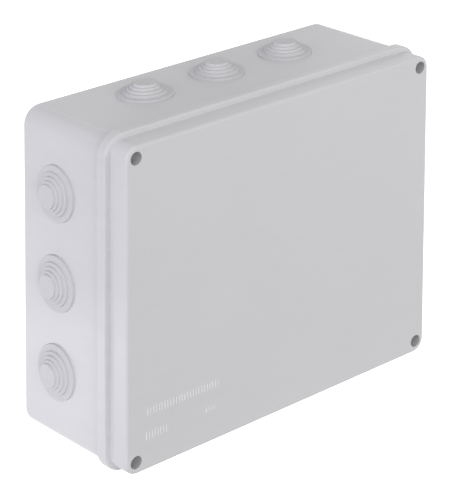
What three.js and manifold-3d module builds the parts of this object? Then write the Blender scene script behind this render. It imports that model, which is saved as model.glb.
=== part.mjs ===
// Sealed electrical junction box, nominal 300 x 250 x 120 mm, light-grey plastic.
// Frame: millimetres, +Z up, +X to the right along the 300 mm side. The flat back
// (wall) face lies in the plane y = 0 and the cover faces -Y. The origin is the
// centre of the back face. Depths are positive and measured from the wall face
// towards the cover, so depth d is the plane y = -d.
import * as THREE from 'three';
import { mergeVertices } from 'three/addons/utils/BufferGeometryUtils.js';
import Module from 'manifold-3d';

// ---------------------------------------------------------------- dimensions
// HX and HZ are half sizes along X and Z, R is a radius, T a thickness.
const GAP = 0.3;              // running clearance between neighbouring pieces
const OVERCUT = 1;            // how far a cutting body runs past the face it cuts

// housing
const DEPTH = 123;            // wall face to cover face
const WALL_T = 3.0;
const FLOOR_T = 3.0;          // thickness of the back
const FLOOR_EDGE = 2.4;       // chamfer between floor and walls, inside
const WALL_REF = 95;          // depth where the walls reach full size
const WALL_HX = 149.15;       // outer half sizes at WALL_REF
const WALL_HZ = 124.35;
const WALL_END = WALL_REF + 2;  // the walls run on into the flange
const DRAFT_X = 1.0;          // walls lean in by this much from WALL_REF to the back
const DRAFT_Z = 1.05;
const WALL_R = 13.8;          // corner radius of the walls
const BACK_R = 5.4;           // rounding of the back edge
const FLANGE_HX = 152.3;
const FLANGE_HZ = 127.3;
const FLANGE_R = 17;
const FLANGE_BACK = 94.4;     // depth where the flange leaves the wall
const FLANGE_SINK = 0.2;      // flange starts this far inside the wall surface
const FLANGE_BEVEL = 1.6;     // length of the flange bevels along the depth
const FLANGE_INSET = 1.5;     // inset of the front bevel
const LEDGE = 104;            // depth of the flange face the cover sits over
const RIM_TOP = 116.6;        // depth of the top of the sealing tongue
const SHELF = 100.5;          // depth of the underside of the rim shelf
const PILLAR_R = 6.5;         // corner screw pillars
const PILLAR_BORE_END = 86;

// cover
const COVER_BACK = LEDGE + GAP;
const COVER_HX = 148;
const COVER_HZ = 123;
const COVER_R = 10;
const COVER_EDGE = 2.4;       // rounding of the front edge
const COVER_INSIDE = DEPTH - 2.8;  // depth of the inner face of the cover plate
const SKIRT_T = 2.6;
const RECESS_R = 5.0;         // screw recess in the cover corner
const RECESS_FLOOR = 109;     // depth of the floor of the recess
const COLUMN_R = 8.0;         // cover column round the screw

// cover screws, one in each corner
const SCREW_X = 139.2;
const SCREW_Z = 114.0;
const SCREW_HOLE_R = 2.3;     // clearance hole in pillar, cover and washer
const INSERT_R = 3.2;
const INSERT_TOP = 103.7;
const INSERT_BACK = INSERT_TOP - 8;

// sealing tongue, inside the cover skirt and clear of the screw columns
const TONGUE_CLEAR = 0.5;
const TONGUE_HX = COVER_HX - SKIRT_T - TONGUE_CLEAR;
const TONGUE_HZ = COVER_HZ - SKIRT_T - TONGUE_CLEAR;
const TONGUE_R = COVER_R - SKIRT_T - TONGUE_CLEAR;
const TONGUE_T = 2.4;
const SEAL_MIN_R = 2;         // least corner radius of an offset seal outline

// cable entries, three to a wall
const ENTRY_PITCH = 68.5;
const ENTRY_DEPTH = 43.0;
const ENTRY_R = 18.5;
const ENTRY_SEGMENTS = 16;    // facets round a grommet and round its entry hole
const ENTRY_CUT = 12;         // length of the cutter for an entry hole

// collars round the wall fixing holes, inside the back
const FIX_X = 124;
const FIX_Z = 99;
const FIX_HOLE_R = 2.6;
const COLLAR_R = 7;
const COLLAR_BORE_R = 5;
const COLLAR_TOP = 10;
const COLLAR_SEAT = FLOOR_T + 0.8;  // depth of the bottom of the collar bore

// plate bosses inside the back
const BOSS_X = 105;
const BOSS_Z = 80;
const BOSS_R = 5;
const BOSS_TOP = 9;
const BOSS_BORE_R = 1.4;

// ---------------------------------------------------------------- helpers
const wasm = await Module();
wasm.setup();

const toSolid = (geometry) => {
  geometry.deleteAttribute('normal');
  geometry.deleteAttribute('uv');
  const merged = mergeVertices(geometry, 1e-4);
  return new wasm.Manifold(new wasm.Mesh({
    numProp: 3,
    vertProperties: new Float32Array(merged.attributes.position.array),
    triVerts: new Uint32Array(merged.index.array),
  }));
};

const toGeometry = (solid) => {
  const mesh = solid.getMesh();
  const positions = new Float32Array(mesh.vertProperties);
  const geometry = new THREE.BufferGeometry();
  geometry.setAttribute('position', new THREE.BufferAttribute(positions, 3));
  geometry.setIndex(new THREE.BufferAttribute(new Uint32Array(mesh.triVerts), 1));
  geometry.computeVertexNormals();
  return geometry;
};

const join = (...solids) => solids.reduce((sum, solid) => sum.add(solid));
const cut = (body, ...tools) => tools.reduce((rest, tool) => rest.subtract(tool), body);

// corner points of a rounded rectangle in the XZ plane
const roundRect = (halfX, halfZ, radius) => {
  const steps = 5;
  const points = [];
  [[1, 1], [-1, 1], [-1, -1], [1, -1]].forEach(([signX, signZ], quarter) => {
    for (let i = 0; i <= steps; i += 1) {
      const angle = THREE.MathUtils.degToRad(90 * quarter + (90 * i) / steps);
      points.push(new THREE.Vector2(
        signX * (halfX - radius) + radius * Math.cos(angle),
        signZ * (halfZ - radius) + radius * Math.sin(angle),
      ));
    }
  });
  return points;
};

// straight prism of a rounded rectangle between two depths
const prism = (halfX, halfZ, radius, from, to) => {
  const shape = new THREE.Shape(roundRect(halfX, halfZ, radius));
  const geometry = new THREE.ExtrudeGeometry(shape, { depth: to - from, bevelEnabled: false });
  geometry.rotateX(Math.PI / 2);
  geometry.translate(0, -from, 0);
  return toSolid(geometry);
};

// closed body through rounded-rectangle sections [depth, halfX, halfZ, radius]
const loft = (sections) => {
  const rings = sections.map(([depth, ...size]) => (
    roundRect(...size).map((point) => [point.x, -depth, point.y])
  ));
  const count = rings[0].length;
  const backCentre = rings.length * count;
  const frontCentre = backCentre + 1;
  const frontRing = backCentre - count;
  const positions = rings.flat(2);
  positions.push(0, -sections[0][0], 0);
  positions.push(0, -sections[sections.length - 1][0], 0);

  const faces = [];
  for (let ring = 0; ring < frontRing; ring += count) {
    for (let i = 0; i < count; i += 1) {
      const here = ring + i;
      const next = ring + ((i + 1) % count);
      faces.push(here, next, here + count);
      faces.push(next, next + count, here + count);
    }
  }
  for (let i = 0; i < count; i += 1) {
    const j = (i + 1) % count;
    faces.push(backCentre, j, i);
    faces.push(frontCentre, frontRing + i, frontRing + j);
  }
  const geometry = new THREE.BufferGeometry();
  geometry.setAttribute('position', new THREE.Float32BufferAttribute(positions, 3));
  geometry.setIndex(faces);
  return toSolid(geometry);
};

// body turned round the Y axis from a profile of [radius, depth]
const turn = (profile) => {
  const points = profile.map(([radius, depth]) => new THREE.Vector2(radius, -depth));
  return toSolid(new THREE.LatheGeometry(points, 12));
};

const ring = (inner, outer, back, front) => turn([
  [inner, front],
  [outer, front],
  [outer, back],
  [inner, back],
  [inner, front],
]);

const CORNERS = [
  { where: 'top_left', signX: -1, signZ: 1 },
  { where: 'top_right', signX: 1, signZ: 1 },
  { where: 'bottom_left', signX: -1, signZ: -1 },
  { where: 'bottom_right', signX: 1, signZ: -1 },
];

// four cylinders along Y between two depths, one in each corner
const posts = (x, z, radius, from, to, segments = 16) => CORNERS.map(({ signX, signZ }) => {
  const geometry = new THREE.CylinderGeometry(radius, radius, to - from, segments);
  geometry.translate(signX * x, -(from + to) / 2, signZ * z);
  return toSolid(geometry);
});

// region inside the tongue's outer face, moved inwards by inset; it steps in
// round each screw column
const sealRegion = (inset, from, to) => {
  const radius = Math.max(TONGUE_R - inset, SEAL_MIN_R);
  const columnR = COLUMN_R + TONGUE_CLEAR + inset;
  return cut(
    prism(TONGUE_HX - inset, TONGUE_HZ - inset, radius, from, to),
    ...posts(SCREW_X, SCREW_Z, columnR, from - OVERCUT, to + OVERCUT, 20),
  );
};

// loft section of the outer wall at a depth, moved inwards by inset
const wallX = (depth) => WALL_HX - DRAFT_X * (1 - depth / WALL_REF);
const wallZ = (depth) => WALL_HZ - DRAFT_Z * (1 - depth / WALL_REF);
const wallSection = (depth, inset) => [
  depth, wallX(depth) - inset, wallZ(depth) - inset, WALL_R - inset,
];

// ---------------------------------------------------------------- cable entries
// matrix that puts the local Y axis on the outward direction
const entryMatrix = (position, direction) => {
  const out = new THREE.Vector3(...direction);
  const side = new THREE.Vector3(0, 1, 0).cross(out).normalize();
  const third = new THREE.Vector3().crossVectors(side, out);
  return new THREE.Matrix4().makeBasis(side, out, third).setPosition(...position);
};

// twelve entries, leaning with the draft of the walls
const placeEntries = () => {
  const leanX = Math.atan(DRAFT_X / WALL_REF);
  const leanZ = Math.atan(DRAFT_Z / WALL_REF);
  const [sinX, cosX] = [Math.sin(leanX), Math.cos(leanX)];
  const [sinZ, cosZ] = [Math.sin(leanZ), Math.cos(leanZ)];
  const x = wallX(ENTRY_DEPTH);
  const y = -ENTRY_DEPTH;
  const z = wallZ(ENTRY_DEPTH);
  return [1, 2, 3].flatMap((number) => {
    const along = ENTRY_PITCH * (number - 2);
    return [
      { where: `top_${number}`, matrix: entryMatrix([along, y, z], [0, sinZ, cosZ]) },
      { where: `bottom_${number}`, matrix: entryMatrix([along, y, -z], [0, sinZ, -cosZ]) },
      { where: `left_${number}`, matrix: entryMatrix([-x, y, -along], [-cosX, sinX, 0]) },
      { where: `right_${number}`, matrix: entryMatrix([x, y, -along], [cosX, sinX, 0]) },
    ];
  });
};
const entries = placeEntries();

// ---------------------------------------------------------------- housing
const buildHousing = () => {
  // the back edge rolls from the back face onto the walls
  const backEdge = [90, 60, 30, 0].map((degrees) => {
    const angle = THREE.MathUtils.degToRad(degrees);
    return wallSection(BACK_R * (1 - Math.sin(angle)), BACK_R * (1 - Math.cos(angle)));
  });
  const shell = loft([...backEdge, wallSection(WALL_END, 0)]);
  const flange = loft([
    [FLANGE_BACK, WALL_HX - FLANGE_SINK, WALL_HZ - FLANGE_SINK, WALL_R],
    [FLANGE_BACK + FLANGE_BEVEL, FLANGE_HX, FLANGE_HZ, FLANGE_R],
    [LEDGE - FLANGE_BEVEL, FLANGE_HX, FLANGE_HZ, FLANGE_R],
    [LEDGE, FLANGE_HX - FLANGE_INSET, FLANGE_HZ - FLANGE_INSET, FLANGE_R - FLANGE_INSET],
  ]);
  const tongueRoot = 2;       // overlap of the tongue with the flange
  const tongue = sealRegion(0, LEDGE - tongueRoot, RIM_TOP);

  // the room for wiring, less the pillars, collars and bosses that stand in it
  const [, floorX, floorZ, floorR] = wallSection(FLOOR_T, WALL_T);
  const room = cut(
    loft([
      [FLOOR_T, floorX - FLOOR_EDGE, floorZ - FLOOR_EDGE, floorR - FLOOR_EDGE],
      [FLOOR_T + FLOOR_EDGE, floorX, floorZ, floorR],
      wallSection(SHELF, WALL_T),
    ]),
    ...posts(SCREW_X, SCREW_Z, PILLAR_R, FLOOR_T - OVERCUT, SHELF + OVERCUT),
    ...posts(FIX_X, FIX_Z, COLLAR_R, FLOOR_T - OVERCUT, COLLAR_TOP),
    ...posts(BOSS_X, BOSS_Z, BOSS_R, FLOOR_T - OVERCUT, BOSS_TOP, 12),
  );
  const mouthOverlap = 0.5;   // the opening through the rim reaches into the room
  const mouth = sealRegion(TONGUE_T, SHELF - mouthOverlap, RIM_TOP + OVERCUT);

  const bores = [
    ...posts(SCREW_X, SCREW_Z, INSERT_R + GAP, INSERT_BACK - GAP, LEDGE + OVERCUT, 12),
    ...posts(SCREW_X, SCREW_Z, SCREW_HOLE_R, PILLAR_BORE_END, LEDGE, 12),
    ...posts(FIX_X, FIX_Z, FIX_HOLE_R, -OVERCUT, COLLAR_TOP, 12),
    ...posts(FIX_X, FIX_Z, COLLAR_BORE_R, COLLAR_SEAT, COLLAR_TOP + OVERCUT, 12),
    ...posts(BOSS_X, BOSS_Z, BOSS_BORE_R, FLOOR_T, BOSS_TOP + OVERCUT, 8),
  ];
  const entryHoles = entries.map(({ matrix }) => {
    const hole = new THREE.CylinderGeometry(ENTRY_R, ENTRY_R, ENTRY_CUT, ENTRY_SEGMENTS);
    return toSolid(hole.applyMatrix4(matrix));
  });
  return toGeometry(cut(join(shell, flange, tongue), room, mouth, ...bores, ...entryHoles));
};

// ---------------------------------------------------------------- cover and its seal
const buildCover = () => {
  // front-facing sections [depth, inset], the last two rounding the front edge
  const outer = loft([
    [COVER_BACK, 0],
    [DEPTH - COVER_EDGE, 0],
    [DEPTH - COVER_EDGE * 0.3, COVER_EDGE * 0.3],
    [DEPTH, COVER_EDGE],
  ].map(([depth, inset]) => [depth, COVER_HX - inset, COVER_HZ - inset, COVER_R - inset]));

  const hollowBack = COVER_BACK - OVERCUT;
  const hollow = cut(
    prism(COVER_HX - SKIRT_T, COVER_HZ - SKIRT_T, COVER_R - SKIRT_T, hollowBack, COVER_INSIDE),
    ...posts(SCREW_X, SCREW_Z, COLUMN_R, hollowBack - OVERCUT, DEPTH, 20),
  );

  // rib: inner wall of the channel that takes the tongue and the gasket
  const ribInset = TONGUE_T + 1.3;
  const ribT = 1.5;
  const ribBack = COVER_INSIDE - 5.7;
  const ribOverlap = 0.5;     // the rib runs into the cover plate
  const rib = cut(
    sealRegion(ribInset, ribBack, COVER_INSIDE + ribOverlap),
    sealRegion(ribInset + ribT, ribBack - OVERCUT, COVER_INSIDE),
  );
  return toGeometry(cut(
    join(cut(outer, hollow), rib),
    ...posts(SCREW_X, SCREW_Z, RECESS_R, RECESS_FLOOR, DEPTH + OVERCUT, 20),
    ...posts(SCREW_X, SCREW_Z, SCREW_HOLE_R, hollowBack, RECESS_FLOOR + OVERCUT, 12),
  ));
};

// the gasket lies on the tongue and is a little wider on both sides
const buildGasket = () => {
  const outerOverhang = 0.2;
  const innerOverhang = 1.0;
  return toGeometry(cut(
    sealRegion(-outerOverhang, RIM_TOP + GAP, COVER_INSIDE - GAP),
    sealRegion(TONGUE_T + innerOverhang, RIM_TOP, DEPTH),
  ));
};

// ---------------------------------------------------------------- cable-entry grommet
// one moulding: stepped cone outside, groove round the wall, snap lip inside
const buildGrommet = () => {
  const stepR = [21.5, 16.6, 13.9, 11.4, 9.3];  // broad rim first
  const stepH = 1.9;
  const tip = stepH * stepR.length;
  const roof = tip - 1.5;     // height of the inner face of the tip
  const roofR = 7.0;
  const boreR = 15.2;
  const boreTop = 0.6;
  const neckR = ENTRY_R - GAP;
  const lipTop = -WALL_T - GAP;
  const lipEnd = -WALL_T - 1.8;
  // [radius, height above the wall face], from the inner surface round to the tip
  const profile = [
    [0, roof],
    [roofR, roof],
    [boreR, boreTop],
    [boreR, lipEnd],
    [ENTRY_R + 1.2, lipEnd],
    [ENTRY_R + 1.6, lipTop],
    [neckR, lipTop],
    [neckR, GAP],
    ...stepR.flatMap((radius, i) => [
      [radius, i ? stepH * i : GAP],
      [radius, stepH * (i + 1)],
    ]),
    [0, tip],
  ];
  const points = profile.map(([radius, height]) => new THREE.Vector2(radius, height));
  return toGeometry(toSolid(new THREE.LatheGeometry(points, ENTRY_SEGMENTS)));
};

// ---------------------------------------------------------------- corner fastenings
const WASHER_BACK = RECESS_FLOOR + GAP;
const WASHER_FRONT = WASHER_BACK + 0.8;
const WASHER_R = 4.5;
const INSERT_BORE_R = 2.1;

// cover screw with a cross slot
const buildScrew = () => {
  const headR = 4.0;
  const headBack = WASHER_FRONT + GAP;
  const headFront = headBack + 3.0;
  const shankR = 1.8;
  const tip = 92;
  const slotLength = 4.6;
  const slotWidth = 1.0;
  const slotDepth = 1.6;
  const cutterHeight = 4;
  const body = turn([
    [0, headFront],
    [headR - 0.5, headFront],
    [headR, headFront - 0.6],
    [headR, headBack],
    [shankR, headBack],
    [shankR, tip + 1],
    [shankR - 0.6, tip],
    [0, tip],
  ]);
  const slot = (sizeX, sizeZ) => {
    const bar = new THREE.BoxGeometry(sizeX, cutterHeight, sizeZ);
    bar.translate(0, -(headFront - slotDepth + cutterHeight / 2), 0);
    return toSolid(bar);
  };
  return toGeometry(cut(body, join(slot(slotLength, slotWidth), slot(slotWidth, slotLength))));
};

const buildWasher = () => toGeometry(ring(SCREW_HOLE_R, WASHER_R, WASHER_BACK, WASHER_FRONT));
const buildInsert = () => toGeometry(ring(INSERT_BORE_R, INSERT_R, INSERT_BACK, INSERT_TOP));

// sealing cap over the head of a wall fixing screw, with a hollow plug at its back
const buildCap = () => {
  const back = COLLAR_TOP + GAP;
  const front = back + 1.6;
  const capR = COLLAR_R + 0.3;
  const plugR = COLLAR_BORE_R - GAP;
  const plugTaper = 0.2;
  const plugBoreR = COLLAR_BORE_R - 1.5;
  const plugEnd = back - 3.5;
  return toGeometry(turn([
    [0, front],
    [capR, front],
    [capR, back],
    [plugR, back],
    [plugR - plugTaper, plugEnd],
    [plugBoreR, plugEnd],
    [plugBoreR, back],
    [0, back],
  ]));
};

// ---------------------------------------------------------------- materials
const plastic = ({ color, roughness }) => (
  new THREE.MeshStandardMaterial({ color, roughness, metalness: 0 })
);
const metal = ({ color }) => (
  new THREE.MeshStandardMaterial({ color, roughness: 0.35, metalness: 1 })
);
const MATERIALS = {
  housing: plastic({ color: 0xc9cacd, roughness: 0.5 }),
  cover: plastic({ color: 0xc8c9cb, roughness: 0.5 }),
  grommet: plastic({ color: 0xcbccce, roughness: 0.62 }),
  gasket: plastic({ color: 0x2a2b2d, roughness: 0.85 }),
  cap: plastic({ color: 0xbfc1c4, roughness: 0.7 }),
  washer: plastic({ color: 0xe9e9e4, roughness: 0.5 }),
  steel: metal({ color: 0xb4b7ba }),
  brass: metal({ color: 0xc6a253 }),
};

// ---------------------------------------------------------------- assembly
const box = new THREE.Group();
const addMesh = (name, geometry, material, matrix = new THREE.Matrix4()) => {
  const mesh = new THREE.Mesh(geometry, material);
  mesh.name = name;
  mesh.applyMatrix4(matrix);
  box.add(mesh);
};

addMesh('base_housing', buildHousing(), MATERIALS.housing);
addMesh('cover', buildCover(), MATERIALS.cover);
addMesh('cover_gasket', buildGasket(), MATERIALS.gasket);

const grommet = buildGrommet();
entries.forEach(({ where, matrix }) => {
  addMesh(`cable_grommet_${where}`, grommet, MATERIALS.grommet, matrix);
});

const screw = buildScrew();
const washer = buildWasher();
const insert = buildInsert();
const cap = buildCap();
CORNERS.forEach(({ where, signX, signZ }) => {
  const atScrew = new THREE.Matrix4().makeTranslation(signX * SCREW_X, 0, signZ * SCREW_Z);
  const atFixing = new THREE.Matrix4().makeTranslation(signX * FIX_X, 0, signZ * FIX_Z);
  addMesh(`cover_screw_${where}`, screw, MATERIALS.steel, atScrew);
  addMesh(`screw_washer_${where}`, washer, MATERIALS.washer, atScrew);
  addMesh(`threaded_insert_${where}`, insert, MATERIALS.brass, atScrew);
  addMesh(`fixing_cap_${where}`, cap, MATERIALS.cap, atFixing);
});

export default box;
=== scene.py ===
# Looks for the sealed electrical junction box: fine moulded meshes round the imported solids,
# procedural plastics, rubber and metal, a pale floor and soft studio light.
# Lengths below are millimetres in the same frame as the solids and are scaled to metres
# when a mesh is made. A "depth" d is the plane y = -d, measured from the wall face.
import math

import bmesh
import bpy
import numpy as np
from mathutils import Matrix, Vector


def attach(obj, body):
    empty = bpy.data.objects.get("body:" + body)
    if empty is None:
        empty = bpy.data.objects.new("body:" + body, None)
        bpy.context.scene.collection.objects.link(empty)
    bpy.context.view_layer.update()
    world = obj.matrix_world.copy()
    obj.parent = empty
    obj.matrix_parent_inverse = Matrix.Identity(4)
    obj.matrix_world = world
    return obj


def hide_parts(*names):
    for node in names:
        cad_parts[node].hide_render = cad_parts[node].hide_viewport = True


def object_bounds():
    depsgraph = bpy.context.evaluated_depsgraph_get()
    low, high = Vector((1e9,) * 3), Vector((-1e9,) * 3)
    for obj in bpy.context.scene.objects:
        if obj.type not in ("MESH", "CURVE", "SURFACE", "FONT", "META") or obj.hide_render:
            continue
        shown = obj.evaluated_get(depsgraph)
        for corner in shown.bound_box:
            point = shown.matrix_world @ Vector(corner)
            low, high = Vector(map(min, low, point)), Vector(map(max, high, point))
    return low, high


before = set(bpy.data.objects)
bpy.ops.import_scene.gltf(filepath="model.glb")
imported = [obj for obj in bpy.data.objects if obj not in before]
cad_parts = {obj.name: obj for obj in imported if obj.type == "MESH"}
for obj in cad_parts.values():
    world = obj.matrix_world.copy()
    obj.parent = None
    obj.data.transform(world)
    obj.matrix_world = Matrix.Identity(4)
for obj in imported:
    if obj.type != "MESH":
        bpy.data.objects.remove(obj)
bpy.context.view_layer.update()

MM = 0.001
scene = bpy.context.scene
CORNERS = {"top_left": (-1, 1), "top_right": (1, 1), "bottom_left": (-1, -1), "bottom_right": (1, -1)}

# ------------------------------------------------------------------ sizes (as the solids)
DEPTH = 123.0
WALL, FLOOR = 3.0, 3.0
WALL_HX, WALL_HZ, WALL_REF = 149.15, 124.35, 95.0
DRAFT_X, DRAFT_Z = 1.0, 1.05
WALL_R, BACK_R = 13.8, 5.4
FLANGE_HX, FLANGE_HZ, FLANGE_R = 152.3, 127.3, 17.0
FLANGE_BACK, LEDGE, RIM_TOP, SHELF = 94.4, 104.0, 116.6, 100.5
PILLAR_R, PILLAR_BORE_R, PILLAR_BORE_END = 6.5, 2.3, 86.0
COVER_HX, COVER_HZ, COVER_R, COVER_EDGE = 148.0, 123.0, 10.0, 2.4
COVER_PLATE, SKIRT = 2.8, 2.6
RECESS_R, RECESS_FLOOR, COLUMN_R = 5.0, 109.0, 8.0
SCREW_X, SCREW_Z = 139.2, 114.0
INSERT_R, INSERT_TOP, INSERT_LEN = 3.2, 103.7, 8.0
TONGUE_HX, TONGUE_HZ, TONGUE_T, TONGUE_CLEAR = 144.9, 119.9, 2.4, 8.5
PITCH, ENTRY_D, ENTRY_R = 68.5, 43.0, 18.5
STEP_R = [21.5, 16.6, 13.9, 11.4, 9.3]
STEP_H = 1.9
FIX_X, FIX_Z, FIX_HOLE_R, COLLAR_R, COLLAR_BORE, COLLAR_TOP = 124.0, 99.0, 2.6, 7.0, 5.0, 10.0
BOSS_X, BOSS_Z, BOSS_R, BOSS_TOP, BOSS_BORE = 105.0, 80.0, 5.0, 9.0, 1.4
NC = 12  # segments in a quarter-turn corner


def wall_x(d):
    return WALL_HX - DRAFT_X * (1 - d / WALL_REF)


def wall_z(d):
    return WALL_HZ - DRAFT_Z * (1 - d / WALL_REF)


# ------------------------------------------------------------------ mesh tools
def new_object(name, verts, faces, collection=True):
    me = bpy.data.meshes.new(name)
    me.from_pydata([tuple(MM * c for c in v) for v in verts], [], faces)
    me.validate()
    bm = bmesh.new()
    bm.from_mesh(me)
    bmesh.ops.recalc_face_normals(bm, faces=bm.faces)
    bm.to_mesh(me)
    bm.free()
    ob = bpy.data.objects.new(name, me)
    scene.collection.objects.link(ob)
    return ob


def round_rect(hx, hz, r, n=NC):
    pts = []
    for sx, sz, a0 in ((1, 1, 0), (-1, 1, 90), (-1, -1, 180), (1, -1, 270)):
        for i in range(n + 1):
            a = math.radians(a0 + 90.0 * i / n)
            pts.append((sx * (hx - r) + r * math.cos(a), sz * (hz - r) + r * math.sin(a)))
    return pts


def seal_outline(t, f0=3.0, n=8):
    """Outline of the sealing path, offset inwards by t: straight runs that step in round each screw column."""
    hx, hz, rc, f = TONGUE_HX - t, TONGUE_HZ - t, TONGUE_CLEAR + t, max(f0 - t, 0.4)
    ax, az = SCREW_X, SCREW_Z
    z1 = az - math.sqrt((rc + f) ** 2 - (hx - f - ax) ** 2)
    x2 = ax - math.sqrt((rc + f) ** 2 - (hz - f - az) ** 2)
    quarter = []
    t1 = math.atan2(az - z1, ax - (hx - f))
    for i in range(n + 1):
        a = t1 * i / n
        quarter.append((hx - f + f * math.cos(a), z1 + f * math.sin(a)))
    t2 = math.atan2(az - (hz - f), ax - x2)
    a0, a1 = t1 + math.pi, t2 + math.pi
    while a1 > a0:
        a1 -= 2 * math.pi
    while a0 - a1 > 2 * math.pi:
        a1 += 2 * math.pi
    for i in range(1, 2 * n):
        a = a0 + (a1 - a0) * i / (2 * n)
        quarter.append((ax + rc * math.cos(a), az + rc * math.sin(a)))
    for i in range(n + 1):
        a = t2 + (math.pi / 2 - t2) * i / n
        quarter.append((x2 + f * math.cos(a), hz - f + f * math.sin(a)))
    pts = list(quarter)
    pts += [(-x, z) for x, z in reversed(quarter)]
    pts += [(-x, -z) for x, z in quarter]
    pts += [(x, -z) for x, z in reversed(quarter)]
    return pts


def loft(name, rings):
    """Closed body through rings [(depth, [(x, z), ...]), ...] that all have as many points."""
    n = len(rings[0][1])
    verts = [(x, -d, z) for d, ring in rings for x, z in ring]
    faces = []
    for k in range(len(rings) - 1):
        for i in range(n):
            j = (i + 1) % n
            faces.append((k * n + i, k * n + j, (k + 1) * n + j, (k + 1) * n + i))
    faces.append(tuple(range(n)))
    faces.append(tuple((len(rings) - 1) * n + i for i in reversed(range(n))))
    return new_object(name, verts, faces)


def sweep_loop(name, section, outline=seal_outline):
    """Closed ring with the cross-section [(offset, depth), ...] carried round an outline."""
    rings = [(d, outline(t)) for t, d in section]
    n, m = len(rings[0][1]), len(rings)
    verts = [(x, -d, z) for d, ring in rings for x, z in ring]
    faces = []
    for k in range(m):
        k2 = (k + 1) % m
        for i in range(n):
            j = (i + 1) % n
            faces.append((k * n + i, k * n + j, k2 * n + j, k2 * n + i))
    return new_object(name, verts, faces)


def fillet(points, radii, seg=4, closed=False):
    """Rounds the corners of a polyline. radii is one number or one per point."""
    n = len(points)
    radii = [radii] * n if not hasattr(radii, "__len__") else list(radii)
    out = []
    for i in range(n):
        p = np.array(points[i], float)
        if radii[i] <= 0 or (not closed and i in (0, n - 1)):
            out.append(tuple(p))
            continue
        a = np.array(points[i - 1], float) - p
        b = np.array(points[(i + 1) % n], float) - p
        la, lb = np.linalg.norm(a), np.linalg.norm(b)
        a, b = a / la, b / lb
        ang = math.acos(max(-1, min(1, float(a @ b))))
        if ang > math.radians(178):
            out.append(tuple(p))
            continue
        t = min(radii[i] / math.tan(ang / 2), la * 0.49, lb * 0.49)
        r = t * math.tan(ang / 2)
        bis = (a + b) / np.linalg.norm(a + b)
        c = p + bis * (r / math.sin(ang / 2))
        s, e = p + a * t - c, p + b * t - c
        a0, a1 = math.atan2(s[1], s[0]), math.atan2(e[1], e[0])
        d = (a1 - a0 + math.pi) % (2 * math.pi) - math.pi
        for k in range(seg + 1):
            q = a0 + d * k / seg
            out.append((c[0] + r * math.cos(q), c[1] + r * math.sin(q)))
    return out


def lathe(name, profile, n=64, centre=(0.0, 0.0), closed=False):
    """Turns [(radius, depth), ...] about an axis along Y through centre (x, z)."""
    cx, cz = centre
    verts, rows = [], []
    for r, d in profile:
        if r < 1e-6:
            rows.append([len(verts)])
            verts.append((cx, -d, cz))
        else:
            rows.append(list(range(len(verts), len(verts) + n)))
            verts += [(cx + r * math.cos(2 * math.pi * i / n), -d, cz + r * math.sin(2 * math.pi * i / n)) for i in range(n)]
    faces = []
    pairs = list(zip(rows, rows[1:]))
    if closed:
        pairs.append((rows[-1], rows[0]))
    for a, b in pairs:
        for i in range(n):
            j = (i + 1) % n
            if len(a) == 1 and len(b) == 1:
                continue
            if len(a) == 1:
                faces.append((a[0], b[j], b[i]))
            elif len(b) == 1:
                faces.append((a[i], a[j], b[0]))
            else:
                faces.append((a[i], a[j], b[j], b[i]))
    return new_object(name, verts, faces)


def join(objs, name):
    """One object holding several separate closed bodies."""
    bm = bmesh.new()
    for o in objs:
        bm.from_mesh(o.data)
    me = bpy.data.meshes.new(name)
    bm.to_mesh(me)
    bm.free()
    for o in objs:
        bpy.data.objects.remove(o)
    ob = bpy.data.objects.new(name, me)
    scene.collection.objects.link(ob)
    return ob


def boolean(a, b, op="DIFFERENCE"):
    m = a.modifiers.new("cut", "BOOLEAN")
    m.operation = op
    m.solver = "EXACT"
    m.object = b
    bpy.context.view_layer.update()
    me = bpy.data.meshes.new_from_object(a.evaluated_get(bpy.context.evaluated_depsgraph_get()))
    a.modifiers.clear()
    me.name = a.name
    a.data = me
    bpy.data.objects.remove(b)
    return a


def tidy(ob, angle=32.0, weighted=True):
    """Cleans a finished mesh and sets its shading: smooth on fillets, crisp at real edges."""
    bm = bmesh.new()
    bm.from_mesh(ob.data)
    bmesh.ops.remove_doubles(bm, verts=bm.verts, dist=1e-6)
    bmesh.ops.dissolve_degenerate(bm, edges=bm.edges, dist=1e-7)
    bmesh.ops.recalc_face_normals(bm, faces=bm.faces)
    bm.to_mesh(ob.data)
    bm.free()
    me = ob.data
    me.polygons.foreach_set("use_smooth", [True] * len(me.polygons))
    me.set_sharp_from_angle(angle=math.radians(angle))
    if weighted:
        w = ob.modifiers.new("weighted", "WEIGHTED_NORMAL")
        w.keep_sharp = True
        w.weight = 80
    me.update()
    return ob


def posts(x, z, profile, n=48):
    """The same turned body at the four mirrored places (+-x, +-z)."""
    return [lathe("post", profile, n, (sx * x, sz * z)) for sx, sz in CORNERS.values()]


def rod(r, d0, d1):
    return [(0, d0), (r, d0), (r, d1), (0, d1)]


# ------------------------------------------------------------------ materials
def material(name):
    m = bpy.data.materials.new(name)
    m.use_nodes = True
    nt = m.node_tree
    nt.nodes.clear()
    out = nt.nodes.new("ShaderNodeOutputMaterial")
    bsdf = nt.nodes.new("ShaderNodeBsdfPrincipled")
    nt.links.new(bsdf.outputs[0], out.inputs["Surface"])
    return m, nt, bsdf


def node(nt, kind, **values):
    n = nt.nodes.new(kind)
    for k, v in values.items():
        if k.startswith("in_"):
            key = k[3:]
            n.inputs[int(key) if key.isdigit() else key].default_value = v
        else:
            setattr(n, k, v)
    return n


def noise(nt, coord, scale, detail=2.0, rough=0.5):
    n = nt.nodes.new("ShaderNodeTexNoise")
    n.inputs["Scale"].default_value = scale
    n.inputs["Detail"].default_value = detail
    n.inputs["Roughness"].default_value = rough
    nt.links.new(coord, n.inputs["Vector"])
    return n.outputs["Fac"]


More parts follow.
